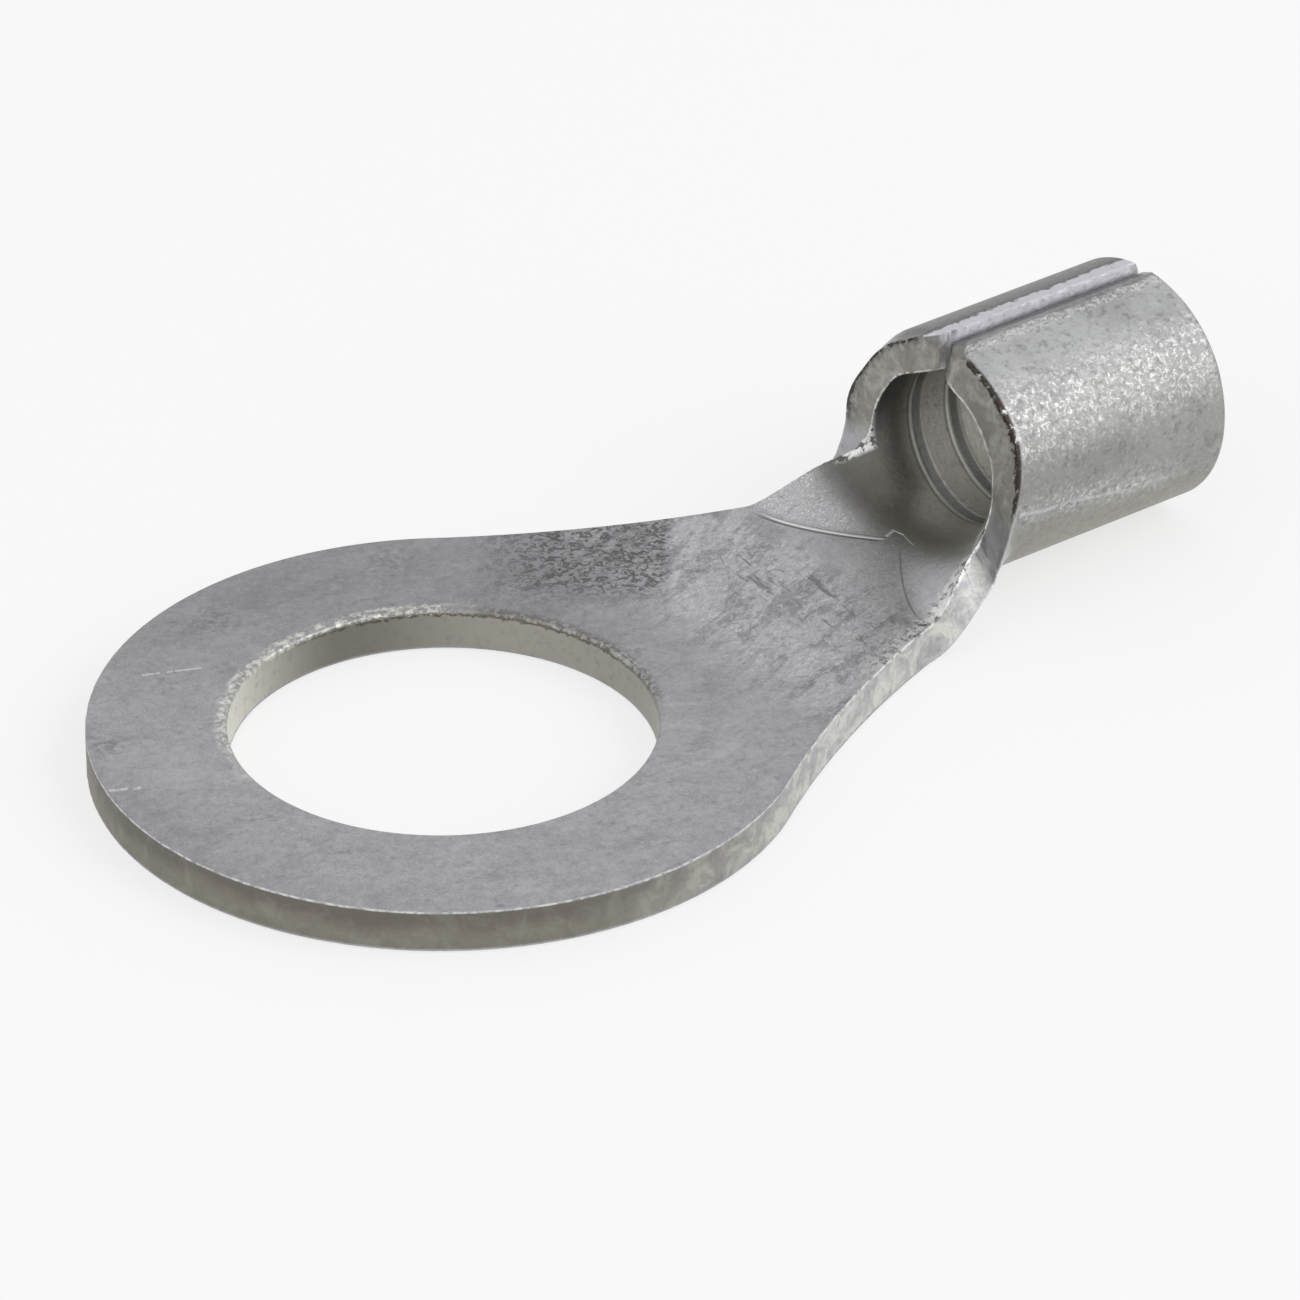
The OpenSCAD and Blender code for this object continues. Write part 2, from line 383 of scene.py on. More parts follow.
def slice_grid(bm, axis, stations, low_x=-math.inf):
    """Cuts the faces beyond low_x by planes square to the axis, in rising order."""
    normal = Vector((1.0, 0.0, 0.0)) if axis == 0 else Vector((0.0, 1.0, 0.0))
    ahead = [face for face in bm.faces if max(v.co.x for v in face.verts) > low_x]
    for at in stations:
        ahead = [face for face in ahead if max(v.co[axis] for v in face.verts) > at + CLOSE]
        crossed = {face for face in ahead if min(v.co[axis] for v in face.verts) < at - CLOSE}
        if crossed:
            parts = cut(bm, crossed, normal * at, normal)
            ahead = [face for face in ahead if face not in crossed] + parts


def slice_walls(bm, levels):
    """Cuts the upright walls by level planes."""
    for level in levels:
        walls = [face for face in bm.faces
                 if min(v.co.z for v in face.verts) < level - CLOSE
                 and max(v.co.z for v in face.verts) > level + CLOSE]
        cut(bm, walls, (0.0, 0.0, level), (0.0, 0.0, 1.0))


def spaced(low, high, pitch):
    """Even stations from low to high, about a pitch apart."""
    count = max(1, round((high - low) / pitch))
    return [low + (high - low) * i / count for i in range(count + 1)]


# grid of the blank, in millimetres: steps along it and strips across it
GRID_REACH = 9.0
RING_STEP, ROLL_STEP, GROOVE_STEP = 0.45, 0.1, 0.05
WIDE_STRIP, NARROW_STRIP = 0.5, 0.125
# levels at which the cut walls are sliced, as shares of the sheet
WALL_SHARES = (0.82, 0.74, 0.6, 0.4, 0.2)
# how deep the shear tore the cut walls: everywhere, and more around the neck
PLAIN_TEAR, NECK_TEAR = 0.012, 0.03
# a point whose normal stands steeper than this isn't on a wall
LEVEL = 0.97


def roughen(vert, f):
    """Eats a little into the sheared walls, most around the neck and the mouth."""
    x = vert.co.x
    near = smooth(x, 5.0, 9.0) * (1.0 - smooth(x, f.mouth_x + 0.8, f.mouth_x + 1.6))
    torn = PLAIN_TEAR + NECK_TEAR * near
    grain = noise.noise(vert.co * 5.5) * 0.6 + noise.noise(vert.co * 13.0) * 0.4
    inward = Vector((vert.normal.x, vert.normal.y, 0.0)) * torn
    vert.co -= inward * min(1.0, abs(grain) * 2.2)


def flat_blank(bm, f):
    """The blank as a flat sheet with rounded rims, its top at z = 0."""
    draw_half_blank(bm, f)
    bmesh.ops.contextual_create(bm, geom=list(bm.edges))
    bmesh.ops.mirror(bm, geom=list(bm.verts) + list(bm.edges) + list(bm.faces),
                     matrix=Matrix.Identity(4), merge_dist=CLOSE, axis="Y")
    bmesh.ops.remove_doubles(bm, verts=list(bm.verts), dist=CLOSE)
    made = bmesh.ops.extrude_face_region(bm, geom=list(bm.faces), use_keep_orig=True)
    bmesh.ops.translate(bm, vec=(0.0, 0.0, -f.sheet),
                        verts=[g for g in made["geom"] if isinstance(g, bmesh.types.BMVert)])
    bmesh.ops.recalc_face_normals(bm, faces=list(bm.faces))
    both = (0.0, -f.sheet)
    round_rims(bm, (0.0,), f.roll, 4, lambda at: at.xy.length < f.hole_radius + 0.02)
    round_rims(bm, both, f.end_break, 3, lambda at: at.x > f.end_x - CLOSE)
    round_rims(bm, both, f.rim, 3, lambda at: True)


def slice_blank(bm, f):
    """Cuts the blank into a grid, wide on the ring and fine where it is rolled."""
    slice_walls(bm, [-f.sheet * share for share in WALL_SHARES])
    ring = spaced(-GRID_REACH, f.rise_x, RING_STEP)
    neck = spaced(f.rise_x, f.mouth_x, ROLL_STEP)
    barrel = spaced(f.mouth_x, f.end_x, ROLL_STEP)
    for i in range(f.grooves):
        middle = f.mouth_x + f.groove_first + i * f.groove_pitch
        barrel += spaced(middle - f.groove_width, middle + f.groove_width, GROOVE_STEP)
    barrel = sorted(set(round(x, 3) for x in barrel))
    slice_grid(bm, 0, ring + neck[1:] + barrel[1:-1])
    slice_grid(bm, 1, spaced(-GRID_REACH, GRID_REACH, WIDE_STRIP))
    slice_grid(bm, 1, spaced(-GRID_REACH, GRID_REACH, NARROW_STRIP), f.rise_x - 0.01)


def form_terminal(sizes, name):
    """The whole part as one closed mesh."""
    f = Former(sizes)
    bm = bmesh.new()
    flat_blank(bm, f)
    slice_blank(bm, f)
    bm.normal_update()
    for vert in bm.verts:
        if abs(vert.normal.z) < LEVEL:
            roughen(vert, f)
    blank = bm.verts.layers.float_vector.new("blank")
    for vert in bm.verts:
        vert[blank] = vert.co
        vert.co = f.form(vert.co)
    bmesh.ops.scale(bm, vec=(MM, MM, MM), verts=list(bm.verts))
    mesh = bpy.data.meshes.new(name)
    bm.to_mesh(mesh)
    bm.free()
    return mesh


# ---------------------------------------------------------- shader algebra


class Sock:
    """A shader socket that takes part in Python expressions."""

    def __init__(self, board, socket):
        self.board, self.socket = board, socket

    def __add__(self, other):
        return self.board.call("ADD", self, other)

    def __radd__(self, other):
        return self.board.call("ADD", other, self)

    def __sub__(self, other):
        return self.board.call("SUBTRACT", self, other)

    def __rsub__(self, other):
        return self.board.call("SUBTRACT", other, self)

    def __mul__(self, other):
        return self.board.call("MULTIPLY", self, other)

    def __rmul__(self, other):
        return self.board.call("MULTIPLY", other, self)

    def __truediv__(self, other):
        return self.board.call("DIVIDE", self, other)

    def __rtruediv__(self, other):
        return self.board.call("DIVIDE", other, self)

    def __pow__(self, other):
        return self.board.call("POWER", self, other)

    def clamped(self):
        """The value, held between 0 and 1."""
        return self.board.call("MINIMUM", self.board.call("MAXIMUM", self, 0.0), 1.0)

    def ramp(self, low, high):
        """0 below low, 1 above high, smooth between; high below low turns it over."""
        return self.board.add("ShaderNodeMapRange", {"interpolation_type": "SMOOTHSTEP"}, {
            "Value": self, "From Min": low, "From Max": high, "To Min": 0.0, "To Max": 1.0})


class Board:
    """The node tree of a material or of the world."""

    def __init__(self, owner):
        self.tree = owner.node_tree
        self.tree.nodes.clear()

    def node(self, kind, settings, values):
        """A node with its settings, its linked inputs and its plain ones."""
        made = self.tree.nodes.new(kind)
        for key, value in settings.items():
            setattr(made, key, value)
        for key, value in values.items():
            target = made.inputs[key]
            if isinstance(value, Sock):
                self.tree.links.new(value.socket, target)
            else:
                target.default_value = value
        return made

    def add(self, kind, settings, values, output=0):
        return Sock(self, self.node(kind, settings, values).outputs[output])

    def call(self, operation, *values):
        return self.add("ShaderNodeMath", {"operation": operation}, dict(enumerate(values)))

    def hypot(self, first, second):
        """Length of a flat step with those two legs."""
        return self.call("SQRT", first * first + second * second)

    def mix(self, factor, first, second):
        """Colours mixed by a factor."""
        made = self.tree.nodes.new("ShaderNodeMix")
        made.data_type = "RGBA"
        for index, value in ((0, factor), (6, first), (7, second)):
            if isinstance(value, Sock):
                self.tree.links.new(value.socket, made.inputs[index])
            else:
                made.inputs[index].default_value = value if index == 0 else (*value[:3], 1.0)
        return Sock(self, made.outputs[2])

    def noise(self, vector, scale, detail=4.0, rough=0.5, distort=0.0):
        return self.add("ShaderNodeTexNoise", {"noise_dimensions": "3D"}, {
            "Vector": vector, "Scale": scale, "Detail": detail, "Roughness": rough,
            "Distortion": distort})


class Tin(Board):
    """Board with the part's places to hand: formed place and place on the flat blank, in mm."""

    def __init__(self, material, f):
        super().__init__(material)
        place = self.add("ShaderNodeTexCoord", {}, {}, "Object")
        self.at = self.add("ShaderNodeVectorMath", {"operation": "SCALE"},
                           {0: place, "Scale": 1.0 / MM})
        self.x, self.y, self.z = self.split(self.at)
        self.flat = self.add("ShaderNodeAttribute", {"attribute_name": "blank"}, {}, "Vector")
        self.along, self.across, below = self.split(self.flat)
        self.depth = below * -1.0
        self.reach = self.call("ABSOLUTE", self.across)
        self.radius = self.hypot(self.x, self.y)
        self.left = self.across.ramp(-0.2, 0.2)
        self.on_top = self.depth.ramp(0.2, 0.1)
        # how far past the mouth, and how far out from the hole's wall
        self.past = self.along - f.mouth_x
        self.off_hole = self.radius - f.hole_radius

    def split(self, vector):
        node = self.node("ShaderNodeSeparateXYZ", {}, {0: vector})
        return [Sock(self, node.outputs[i]) for i in range(3)]

    def stretched(self, scale, turn=0.0):
        """The formed place, turned about Z and then scaled along each axis."""
        turned = self.add("ShaderNodeMapping", {"vector_type": "POINT"},
                          {0: self.at, "Rotation": (0.0, 0.0, turn)})
        return self.add("ShaderNodeMapping", {"vector_type": "POINT"}, {0: turned, "Scale": scale})

    def stroke(self, start, end, half_width):
        """1 on a short straight stroke on the flat sheet, fading to its sides."""
        run = (end[0] - start[0], end[1] - start[1])
        size = run[0] ** 2 + run[1] ** 2
        from_x, from_y = self.along - start[0], self.across - start[1]
        t = ((from_x * run[0] + from_y * run[1]) / size).clamped()
        off_x, off_y = from_x - t * run[0], from_y - t * run[1]
        return self.hypot(off_x, off_y).ramp(half_width, half_width * 0.4)

    def spot(self, centre, radius, soft):
        """1 on a round spot on the flat sheet, fading at its rim."""
        off = self.hypot(self.along - centre[0], self.across - centre[1])
        return off.ramp(radius + soft, radius - soft)


def crease_distance(t, start_x, reach_x, half, power):
    """Signed gap to a crease that runs from the sheet's edge in to the centre line."""
    u = ((t.along - start_x) / reach_x).clamped()
    by_width = t.reach - (1.0 - u ** power) * half
    v = (1.0 - t.reach / half).clamped()
    by_length = t.along - (v ** (1.0 / power) * reach_x + start_x)
    reach = t.call("SQRT", by_width * by_width + by_length * by_length + 1e-6)
    return t.call("ABSOLUTE", by_width) * by_length / reach


def top_face(t, c, grain, fine):
    """Tin on the flat of the ring and the neck."""
    blotch = t.noise(t.at, 1.7, 5.0, 0.72, 0.4)
    tone = t.mix(blotch.ramp(0.32, 0.68), c.cool, c.grey)
    tone = t.mix(grain.ramp(0.5, 0.7) * 0.3, tone, c.dark)
    tone = t.mix(grain.ramp(0.46, 0.3) * 0.28, tone, c.rubbed_and_sheen)
    tone = t.mix(fine.ramp(0.54, 0.72) * 0.26, tone, c.bright)
    tone = t.mix(fine.ramp(0.46, 0.3) * 0.3, tone, c.dark)
    soft = t.noise(t.stretched((0.5, 0.9, 1.0), 0.5), 1.0, 4.0, 0.62, 0.5)
    tone = t.mix(soft.ramp(0.54, 0.66) * 0.22, tone, c.dark)
    tone = t.mix(soft.ramp(0.46, 0.34) * 0.25, tone, c.rubbed_and_sheen)
    tone = t.mix(t.x.ramp(-6.6, -8.4) * blotch.ramp(0.4, 0.6) * 0.4, tone, c.dark)
    # painted shade: the ring's top darkened toward its far side
    far = t.x * 0.62 + t.y * 0.79
    tone = t.mix(far.ramp(-1.5, 6.5) * t.along.ramp(8.5, 5.0) * 0.36, tone, c.dark)
    # rubbed neck: soft scales, with finer strokes over them
    above = t.depth.ramp(0.6, 0.5)
    neck = t.along.ramp(6.0, 8.6) * (t.along.ramp(12.8, 11.4) * 0.65 + 0.35) * (above * 0.7 + 0.3)
    # painted light: the neck lightened toward its end, most on the right, where the sheet starts to
    # slope
    tone = t.mix(t.along.ramp(11.8, 13.2) * 0.3, tone, c.rubbed_and_sheen)
    tone = t.mix(t.along.ramp(11.2, 12.4) * t.across.ramp(1.2, 0.2) * 0.55, tone, c.rubbed_and_sheen)
    scales = t.noise(t.stretched((0.6, 1.5, 1.0), -0.44), 1.0, 3.0, 0.6, 0.7)
    tone = t.mix(neck * scales.ramp(0.46, 0.54) * 0.42, tone, c.rubbed_and_sheen)
    tone = t.mix(neck * scales.ramp(0.48, 0.41) * 0.3, tone, c.dark)
    strokes = t.noise(t.stretched((1.3, 2.3, 1.0), -0.3), 3.4, 6.0, 0.8, 0.8)
    tone = t.mix(neck * strokes.ramp(0.52, 0.6) * 0.42, tone, c.bright)
    tone = t.mix(neck * strokes.ramp(0.47, 0.39) * 0.46, tone, c.dark)
    # short dark scores across the neck
    scored = t.noise(t.stretched((4.2, 0.95, 1.0), 0.12), 1.0, 5.0, 0.68, 0.5)
    place = t.along.ramp(8.8, 10.2) * t.along.ramp(12.4, 11.3) * t.across.ramp(3.4, 1.6) * above
    tone = t.mix(place * scored.ramp(0.55, 0.63) * 0.75, tone, c.dark)
    # odd scuffs on the ring, pale and dark
    scuffs = t.noise(t.stretched((1.0, 2.2, 1.0), 0.4), 1.5, 6.0, 0.72, 0.2)
    tone = t.mix(scuffs.ramp(0.62, 0.7) * 0.5, tone, c.dark)
    tone = t.mix(scuffs.ramp(0.36, 0.27) * 0.5, tone, c.rubbed_and_sheen)
    # pitted patch beside the hole on the left
    rough = (grain - 0.5) * 0.7
    ahead = t.along * 0.77 - t.across * 0.63 + rough
    aside = t.along * 0.61 + t.across * 0.79 + rough
    patch = ahead.ramp(-0.2, 2.4) * ahead.ramp(5.4, 5.05) * aside.ramp(4.9, 7.0) * above
    worms = t.noise(t.at, 4.4, 5.0, 0.66, 1.2)
    tone = t.mix(patch * 0.36, tone, c.dark)
    tone = t.mix(patch * worms.ramp(0.47, 0.57) * 0.92, tone, c.pit_and_shade)
    smudge = t.spot((-1.8, 7.3), 0.5, 0.45) + t.spot((-7.2, 4.0), 0.4, 0.4)
    smudge = (smudge + t.spot((3.6, 7.0), 0.6, 0.6) * 0.7) * above
    tone = t.mix(smudge * grain.ramp(0.44, 0.58) * 0.5, tone, c.dark)
    return tone, patch * worms


def sheared_walls(t, c, f, grain, cloud):
    """The blank's cut edges: ring, hole, neck, mouth and lips."""
    smear = t.noise(t.at, 1.6, 5.0, 0.7, 0.5)
    tone = t.mix((t.depth + cloud * 0.9 + grain * 0.5 - 0.7).ramp(0.25, 0.75),
                 c.wall_high, c.wall_low)
    # pale smears, growing toward the neck, are partly painted light where the cut edge turns to the
    # lamp's side
    tone = t.mix(smear.ramp(0.48, 0.66) * (t.x.ramp(-2.0, 6.0) * 0.3 + 0.08), tone, c.neck_wall)
    tone = t.mix(smear.ramp(0.48, 0.36) * 0.3, tone, c.wall_high)
    back = t.mix(t.x.ramp(-4.2, 0.8), c.hole_left, c.hole_back)
    hole = t.off_hole.ramp(0.17, 0.05)
    tone = t.mix(hole, tone, t.mix(t.x.ramp(1.0, 4.4), back, c.hole_right))
    neck = t.along.ramp(-3.5, 8.5) * (1.0 - hole)
    # the neck's right wall faces the lamp's side and is painted light, with grey smears
    flank = t.mix(smear.ramp(0.36, 0.62), c.grey, c.neck_wall)
    tone = t.mix(neck * (1.0 - t.left), tone, flank)
    tone = t.mix(neck * t.left, tone, c.grey)
    # painted shade in the concave corner on the right, just ahead of the mouth
    corner = t.past.ramp(-1.6, -0.7) * (1.0 - t.left)
    tone = t.mix(corner * 0.85, tone, c.dark)
    mouth = t.past.ramp(-0.4, -0.1) * t.reach.ramp(3.05, 3.4)
    face = t.mix(t.left, c.mouth_right, c.mouth_left)
    face = t.mix(smear.ramp(0.42, 0.64) * 0.35, face, c.neck_wall)
    face = t.mix(t.left * (t.depth + (grain - 0.5) * 1.3).ramp(0.6, 0.95) * 0.7, face, c.dark)
    tone = t.mix(mouth, tone, face)
    # the lips' sheared faces: painted light on the left, painted shade on the right
    lips = t.reach.ramp(5.95, 6.4) * t.past.ramp(0.4, 0.9)
    tone = t.mix(lips, tone, t.mix(t.left, c.lip_right, c.lip_left))
    wire_end = t.along.ramp(f.end_x - 0.3, f.end_x - 0.15)
    tone = t.mix(wire_end, tone, c.grey)
    return t.mix(grain.ramp(0.52, 0.72) * 0.34, tone, c.dark)


def barrel_skin(t, c, grain, cloud):
    """Tin on the outside of the roll, frosted, with a painted highlight of lighter tin and brighter
    frost in a band along its upper side and beside the low fold.
    """
    frost = t.noise(t.at, 7.4, 8.0, 0.78, 0.6)
    fold = t.z + t.x * 0.12 - 4.68 + (cloud - 0.5) * 0.3
    near = t.y.ramp(-1.0, -1.8) * t.x.ramp(21.4, 19.6)
    # painted highlight: a band along the upper side, and one beside the low fold on the right
    highlight_band = t.z.ramp(3.7, 4.9) * t.z.ramp(6.1, 5.5)
    highlight_band = highlight_band + t.call("ABSOLUTE", fold).ramp(0.8, 0.0) * near * 0.7
    tone = t.mix(t.z.ramp(0.3, 2.2), c.warm, c.skin)
    tone = t.mix(t.z.ramp(5.2, 6.1) * 0.75, tone, c.rubbed_and_sheen)
    tone = t.mix(cloud.ramp(0.56, 0.44) * 0.25, tone, c.dark)
    tone = t.mix((highlight_band * 0.3).clamped(), tone, c.rubbed_and_sheen)
    tone = t.mix(frost.ramp(0.51, 0.6) * (highlight_band * 0.78 + 0.12), tone, c.bright)
    tone = t.mix(frost.ramp(0.46, 0.38) * (highlight_band * 0.3 + 0.12), tone, c.dark)
    tone = t.mix(grain.ramp(0.5, 0.68) * 0.5, tone, c.dark)
    # a long shallow fold low on the right side, dull and warm below it
    tone = t.mix(fold.ramp(0.0, -0.5) * t.y.ramp(-1.0, -1.8) * 0.5, tone, c.warm)
    mark = t.call("ABSOLUTE", fold).ramp(0.085, 0.02) * near
    tone = t.mix(mark * grain.ramp(0.62, 0.42) * 0.7, tone, c.rubbed_and_sheen)
    # the left wing's outside is dull up to a ragged line, then painted light in the lit lip face's
    # colour up to the lip
    line = t.y + (cloud - 0.5) * 0.3 + (grain - 0.5) * 0.6
    dulled = line.ramp(0.8, 0.9) * line.ramp(2.5, 1.7) * t.z.ramp(4.0, 5.0)
    tone = t.mix(dulled, tone, c.shoulder)
    lip = t.mix(grain.ramp(0.5, 0.7) * 0.5, c.lip_left, c.grey)
    tone = t.mix(line.ramp(0.9, 0.82) * t.y.ramp(0.3, 0.4) * t.z.ramp(4.6, 5.2), tone, lip)
    tone = t.mix(line.ramp(0.76, 0.84) * line.ramp(1.0, 0.9) * t.z.ramp(5.8, 6.0) * 0.8, tone, c.pit_and_shade)
    # the right lip gets painted shade of the V groove beside the seam, with a line of torn specks
    # behind it
    brink = t.y + (grain - 0.5) * 0.35
    upper = t.z.ramp(5.7, 5.9) * t.y.ramp(0.3, 0.1)
    tone = t.mix(brink.ramp(-0.46, -0.36) * upper * 0.5, tone, c.dark)
    specks = brink.ramp(-0.8, -0.64) * brink.ramp(-0.36, -0.48) * upper
    nose = t.past.ramp(0.7, 0.4) * t.y.ramp(-1.0, -0.6) * upper
    specks = (specks + nose * 0.8).clamped()
    tone = t.mix(specks * frost.ramp(0.5, 0.58) * 0.8, tone, c.bright)
    tone = t.mix(specks * frost.ramp(0.45, 0.38) * 0.8, tone, c.pit_and_shade)
    return tone, frost + mark * 0.5


def barrel_inside(t, c, f, top, grain, on_barrel):
    """Painted shade in the hollow of the neck, then the bore, painted light, with its pressed
    grooves in painted light and shade.
    """
    # painted shade inside the neck ahead of the bore, darkest on the left
    hollow_shade = t.mix(t.across.ramp(-0.2, 2.2), c.warm, c.hollow_shade)
    inner = t.mix((t.past + t.across * 0.14).ramp(-1.8, -0.3) * 0.92, top, hollow_shade)
    # the bore's colour, painted light against the shade inside it
    held = t.across.ramp(0.4, 1.7) * 0.95
    inner = t.mix((t.past - held).ramp(-0.5, 0.6), inner, c.bore)
    inner = t.mix(on_barrel * grain.ramp(0.5, 0.7) * 0.3, inner, c.hollow_shade)
    # each groove has painted shade on its floor, a painted highlight on its flank and a line of
    # painted shade ahead of it
    half = 0.5 * f.groove_pitch
    phase = t.call("FLOORED_MODULO", t.past - (f.groove_first - half), f.groove_pitch) - half
    bored = t.past.ramp(0.6, 0.7)
    inner = t.mix(bored * phase.ramp(-0.03, 0.02) * phase.ramp(0.19, 0.12) * 0.8, inner, c.pit_and_shade)
    flank = bored * phase.ramp(-0.26, -0.2) * phase.ramp(-0.06, -0.1)
    inner = t.mix(flank * 0.55, inner, c.bright)
    ahead = bored * phase.ramp(-0.34, -0.3) * phase.ramp(-0.24, -0.28)
    return t.mix(ahead * 0.5, inner, c.pit_and_shade)


def rim_wear_and_highlights(t, c, tone, ragged):
    """Wear and painted highlights on the rolled rim of the hole and on the ring's outer rim."""
    # bright specks on the far left, partly a painted highlight on the rolled rim, a dark ragged line
    # at their foot
    far_left = t.y.ramp(-0.6, 2.0) * t.x.ramp(4.4, 2.4)
    specks = t.off_hole.ramp(0.41, 0.2) * t.depth.ramp(0.16, 0.1) * far_left
    specks = specks * (t.y.ramp(0.0, 3.6) * 0.6 + 0.4)
    tone = t.mix(specks * ragged.ramp(0.42, 0.56) * 0.8, tone, c.hole_left)
    tone = t.mix(specks * ragged.ramp(0.58, 0.64) * 0.8, tone, c.bright)
    level = t.depth + (ragged - 0.5) * 0.3
    foot = level.ramp(0.08, 0.12) * level.ramp(0.2, 0.15)
    foot = foot * t.off_hole.ramp(0.25, 0.15) * t.y.ramp(-4.0, 1.0) * t.x.ramp(-2.5, 1.5)
    tone = t.mix(foot * 0.7, tone, c.grime)
    # a stain that crept over the rim toward the neck
    beside = t.x.ramp(2.8, 4.2) * t.y.ramp(-3.4, -1.6) * t.y.ramp(4.4, 3.4)
    stain = (t.off_hole + (ragged - 0.5) * 0.9).ramp(0.37, 0.15) * t.on_top * beside
    tone = t.mix(stain * ragged.ramp(0.42, 0.52) * 0.8, tone, c.wall_high)
    # painted highlight along the ring's outer rim, broken up by noise
    ring_rim = t.radius.ramp(8.3, 8.6) * t.depth.ramp(0.0, 0.02) * t.depth.ramp(0.08, 0.05)
    return t.mix(ring_rim * ragged.ramp(0.35, 0.6) * 0.7, tone, c.bright)


def torn_edges(t, c, f, tone, grain, ragged):
    """The torn upper rim along the neck, with specks reaching in from it, and the burr."""
    rim = t.depth.ramp(0.004, 0.03) * t.depth.ramp(0.13, 0.07)
    torn = rim * t.along.ramp(4.0, 7.0) * (t.past - t.left * 0.5).ramp(-0.4, -0.8)
    inside = t.hypot(t.along - f.flank_x, t.reach - f.flank_y) - f.flank_radius
    skin = t.depth.ramp(0.06, 0.04)
    frayed = (inside + (ragged - 0.5) * 0.6).ramp(0.52, 0.24) * skin
    frayed = frayed * t.along.ramp(8.5, 12.0) * t.past.ramp(0.0, -0.3) * (1.0 - t.left)
    cusp = t.past.ramp(-1.0, -0.6) * t.past.ramp(0.1, -0.05) * inside.ramp(0.24, 0.1)
    frayed = frayed + t.left * cusp * t.reach.ramp(4.6, 4.0) * skin
    edge = (torn * 0.8 + frayed).clamped()
    tone = t.mix(edge * grain.ramp(0.46, 0.53), tone, c.bright)
    tone = t.mix(edge * grain.ramp(0.45, 0.38) * 0.85, tone, c.pit_and_shade)
    # burr left on the outside of the mouth
    burr = (t.depth + (ragged - 0.5) * 0.4).ramp(0.93, 1.0) * t.past.ramp(0.2, 0.08)
    burr = burr * t.past.ramp(-0.3, -0.1) * t.reach.ramp(3.2, 3.6)
    return t.mix(burr * grain.ramp(0.34, 0.46), tone, c.grime)


def creases(t, c, f, tone, fine, ragged):
    """The creases where the sides start to rise, with a painted highlight line and a painted shadow
    beside it on the left one, and painted shade along the right one.
    """
    ridge = crease_distance(t, f.rise_x, 2.05, f.rise_half, 0.56)
    fold = t.on_top * t.along.ramp(12.2, 12.34) * t.along.ramp(14.5, 14.2)
    behind = ridge.ramp(0.02, 0.3) * fold * t.left * t.along.ramp(14.2, 13.6)
    tone = t.mix(behind * 0.4, tone, c.rubbed_and_sheen)
    tone = t.mix(behind * fine.ramp(0.52, 0.62) * 0.6, tone, c.bright)
    tone = t.mix(behind * ragged.ramp(0.42, 0.34) * 0.4, tone, c.dark)
    # the line ends in a small hook on the centre line
    # painted highlight along the ridge of the left crease
    line = t.call("ABSOLUTE", ridge).ramp(0.08, 0.03) * fold * t.left
    hook = t.stroke((14.22, 0.38), (14.5, 0.48), 0.055)
    hook = hook + t.stroke((14.5, 0.48), (14.58, 0.2), 0.035)
    hook = (hook + t.stroke((14.58, 0.2), (14.45, -0.4), 0.03) * 0.35) * t.on_top
    aside = t.across.ramp(0.22, 0.4)
    line = (line * t.along.ramp(12.36, 12.5) * aside + hook).clamped()
    tone = t.mix(line, tone, c.bright)
    shade = t.call("ABSOLUTE", ridge + 0.11).ramp(0.07, 0.02) * fold * aside
    tone = t.mix(shade * 0.75, tone, c.pit_and_shade)
    # painted shade along the right crease
    far = crease_distance(t, f.rise_x - 0.1, 2.15, 3.5, 0.7)
    far_line = t.call("ABSOLUTE", far).ramp(0.045, 0.01) * fold * (1.0 - t.left)
    tone = t.mix(far_line * t.across.ramp(-0.1, -1.0) * 0.5, tone, c.pit_and_shade)
    return tone, line


def tin_plate(name, c, f):
    """Dull electroplated tin over copper."""
    material = bpy.data.materials.new(name)
    material.use_nodes = True
    t = Tin(material, f)
    cloud = t.noise(t.at, 0.5, 4.0, 0.6)
    grain = t.noise(t.at, 4.5, 5.0, 0.66)
    fine = t.noise(t.at, 17.0, 3.0, 0.6)
    ragged = t.noise(t.at, 6.0, 3.0, 0.6)

    top, pits = top_face(t, c, grain, fine)
    skin, frost = barrel_skin(t, c, grain, cloud)
    on_barrel = t.past.ramp(-0.1, 0.3)
    inner = barrel_inside(t, c, f, top, grain, on_barrel)
    tone = t.mix(t.depth.ramp(0.5, 0.6), inner, t.mix(on_barrel, top, skin))
    wall = t.depth.ramp(0.03, 0.09) * t.depth.ramp(1.075, 1.02)
    tone = t.mix(wall, tone, sheared_walls(t, c, f, grain, cloud))
    tone = rim_wear_and_highlights(t, c, tone, ragged)
    tone = torn_edges(t, c, f, tone, grain, ragged)
    tone, line = creases(t, c, f, tone, fine, ragged)
    scratches = t.stroke((-4.61, 6.17), (-3.31, 5.6), 0.05)
    scratches = scratches + t.stroke((-8.3, 2.2), (-7.7, 1.9), 0.09)
    scratches = (scratches * t.on_top * ragged.ramp(0.4, 0.5)).clamped()
    tone = t.mix(scratches * 0.6, tone, c.bright)

    height = grain * 0.5 + fine * 0.18 + frost * on_barrel * 0.8 - pits * 0.8 + line * 0.9
    bump = t.add("ShaderNodeBump", {}, {"Strength": 0.55, "Distance": 0.00005, "Height": height})
    rough = grain * 0.22 + 0.3 - frost.ramp(0.45, 0.65) * on_barrel * 0.12 + wall * 0.1
    shader = t.add("ShaderNodeBsdfPrincipled", {}, {
        "Base Color": tone, "Metallic": 0.85, "Roughness": rough, "Normal": bump})
    t.node("ShaderNodeOutputMaterial", {}, {"Surface": shader})
    return material


# ------------------------------------------------------------------- stage


